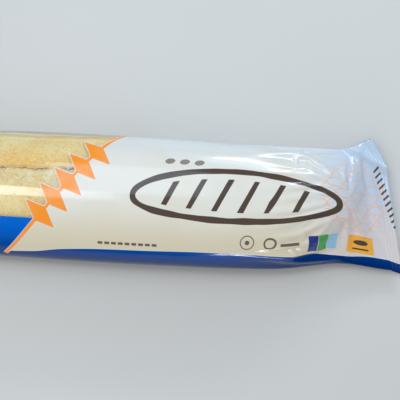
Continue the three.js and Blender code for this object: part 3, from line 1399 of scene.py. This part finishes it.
def backStrip():
    rows = sheetRows()
    rows = rows[np.abs(rows) < sealStart * settling["slack"]]
    acrosses = np.linspace(backSeal["inset"], backSeal["width"], backSeal["columns"]) - halfSheet
    alongGrid, acrossGrid = np.meshgrid(rows, acrosses, indexing="ij")
    base, normal = onPack(alongGrid, acrossGrid), filmNormals(alongGrid, acrossGrid)
    count, wide = alongGrid.shape
    outer = (base + normal * backSeal["high"]).reshape(-1, 3)
    inner = (base + normal * backSeal["low"]).reshape(-1, 3)
    size = count * wide
    points = np.vstack([outer, inner]) * mm
    faces = gridFaces(count, wide, closed=False, turned=True)
    faces += [tuple(i + size for i in face[::-1]) for face in faces]
    rim = [(0, i) for i in range(wide)] + [(r, wide - 1) for r in range(1, count)]
    rim += [(count - 1, i) for i in range(wide - 2, -1, -1)]
    rim += [(r, 0) for r in range(count - 2, 0, -1)]
    rim = [r * wide + i for r, i in rim]
    for here, there in zip(rim, rim[1:] + rim[:1]):
        faces.append((here, there, there + size, here + size))
    strip = newObject("back_seal", points, faces)
    tidy = bmesh.new()
    tidy.from_mesh(strip.data)
    flatMap = tidy.loops.layers.uv.new("OFBake")
    places = np.tile(np.stack([alongGrid.ravel(), acrossGrid.ravel()], 1), (2, 1))
    for face in tidy.faces:
        face.smooth = True
        for corner in face.loops:
            corner[flatMap].uv = flatUV(*places[corner.vert.index])
    bmesh.ops.recalc_face_normals(tidy, faces=tidy.faces)
    tidy.to_mesh(strip.data)
    tidy.free()
    return strip


def ribTree():
    # Fine ribs along the folded seal
    inputs = {name: backSeal[name] for name in ("Rib Pitch", "Rib Rise")}
    tree, value, sink = formTree("backRibs", inputs)
    x = parted(reading(tree, "GeometryNodeInputPosition"))[0] / mm
    turn = x / value["Rib Pitch"] * (2 * math.pi)
    rise = calc("SINE", turn) * (value["Rib Rise"] * mm)
    finishTree(value["Geometry"], joined(0.0, 0.0, rise), value["Material"], sink)
    return tree, inputs


strip = backStrip()
stripTree, stripInputs = ribTree()
shaped(strip, stripTree, stripInputs, printedFilm)
print("back seal folded down")

for piece, slot in ((printedWrap, "printed_film"), (clearWindow, "clear_film"),
                    (strip, "printed_film"), (loaf, "bread_crust")):
    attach(piece, "root")
    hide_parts("sealed_pack")

# The table, light and camera
studio = {
    "table": colour(206, 206, 203),
    "tableShade": colour(196, 196, 194),
    "air": (0.8, 0.87, 0.95, 1),
    "airStrength": 0.42,
}
lamps = {  # place, aim, size, power, tint, and whether the film mirrors it
    "overhead": ((0.0, 0.1, 1.35), (0, 0, 0), (1.6, 1.0), 6.5, (1.0, 0.96, 0.91), False),
    "crispStrip": ((-0.52, 0.095, 1.1), (-0.52, 0, 0.05), (0.8, 0.165), 2.0,
                   (0.82, 0.89, 1.0), True),
    "skyPanel": ((-0.08, 0.5, 1.1), (-0.08, 0, 0.05), (0.4, 0.7), 2.3, (0.6, 0.8, 1.0), True),
    "skyBand": ((0.66, 1.1, 0.62), (0.2, 0.03, 0.05), (1.1, 0.3), 4.0, (0.5, 0.74, 1.0), True),
    "streak": ((0.5, 1.16, 0.52), (0.2, 0.03, 0.05), (0.7, 0.05), 3.4, (1, 1, 1), True),
    "nearGlint": ((0.3, -1.15, 0.14), (0.16, 0, 0.03), (0.32, 0.05), 1.5, (1, 1, 1), True),
    "warmFill": ((-0.6, -0.9, 0.9), (0, 0, 0), (0.9, 0.9), 4.0, (1.0, 0.92, 0.8), False),
}


def tableMaterial():
    material, tree, output = nodeMaterial("paleTable")
    place = reading(tree, "ShaderNodeTexCoord", "Object")
    patches = fade(noise(place, 3.0, 4.0), 0.3, 0.7, 0.0, 0.25)
    shader = newNode(tree, "ShaderNodeBsdfPrincipled", {
        "Base Color": blended(patches, studio["table"], studio["tableShade"]),
        "Roughness": 0.75,
    })
    feed(shader.outputs[0], output.inputs[0])
    return material


table = newObject("table", [(-3, -3, 0), (3, -3, 0), (3, 3, 0), (-3, 3, 0)], [(0, 1, 2, 3)])
table.data.materials.append(tableMaterial())


def aimed(name, data, place, direction):
    made = bpy.data.objects.new(name, data)
    scene.collection.objects.link(made)
    made.location = place
    made.rotation_mode = "QUATERNION"
    made.rotation_quaternion = direction.to_track_quat("-Z", "Y")
    return made


def softLight(name, place, aim, size, power, tint, mirrored):
    lamp = bpy.data.lights.new(name, "AREA")
    lamp.shape = "RECTANGLE"
    lamp.size, lamp.size_y = size
    lamp.energy = power
    lamp.color = tint
    made = aimed(name, lamp, place, Vector(aim) - Vector(place))
    made.visible_glossy = mirrored  # the broad lights don't show as glare on the film


scene.view_settings.view_transform = "Standard"  # keeps the print's colours as they are inked
for name, lamp in lamps.items():
    softLight(name, *lamp)

world = bpy.data.worlds.new("paleRoom")
scene.world = world
world.use_nodes = True
world.cycles_visibility.glossy = False  # the film mirrors the lamps, not the room
background = world.node_tree.nodes["Background"]
feed(studio["air"], background.inputs[0])
feed(studio["airStrength"], background.inputs[1])


def photoCamera():
    eye, _, _, back = photoEye()
    lens = bpy.data.cameras.new("photoLens")
    lens.lens, lens.sensor_width = photoView["lens"], photoView["sensor"]
    scene.camera = aimed("photoCamera", lens, Vector(eye) * mm, Vector(-back))


photoCamera()
print("stage lit, camera set")
